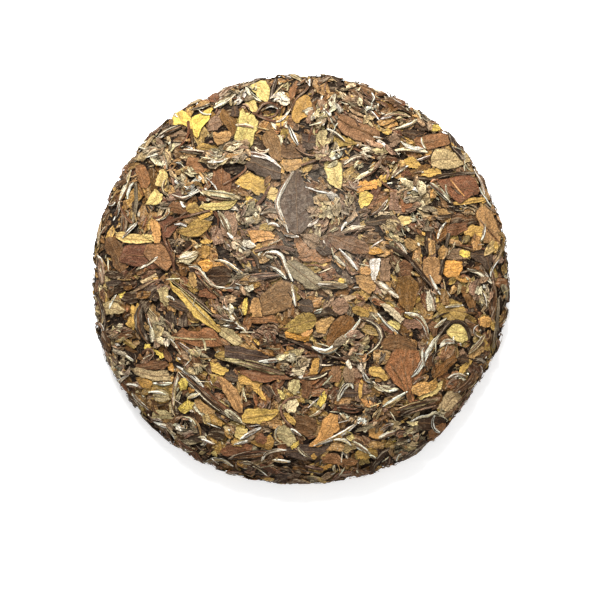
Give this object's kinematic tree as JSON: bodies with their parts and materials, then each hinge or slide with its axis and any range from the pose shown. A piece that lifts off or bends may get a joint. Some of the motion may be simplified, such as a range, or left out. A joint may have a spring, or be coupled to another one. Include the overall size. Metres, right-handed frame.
{
  "type": "tea cake",
  "caption": "Round, slightly domed cake of pressed white tea: brown and olive leaf with pale downy buds and stalks, its rim rounded and its back flat with a shallow hollow",
  "frame": {"origin": "bottom centre: the middle of the bounding box in X and Y, on the plane that the cake lies on", "axes": "+Z is the cake's axis and points out of its face; +Y is the way that was up in the picture; +X is to the right"},
  "size_m": [0.1992, 0.1972, 0.025],
  "materials": {
    "pressed_leaf": "matte dry leaf",
    "yellow_leaf": "matte dry leaf",
    "silver_bud": "matte dry leaf with down",
    "stalk": "satin dry stalk"
  },
  "bodies": {
    "root": {"tea_cake": "pressed_leaf"}
  },
  "joints": []
}
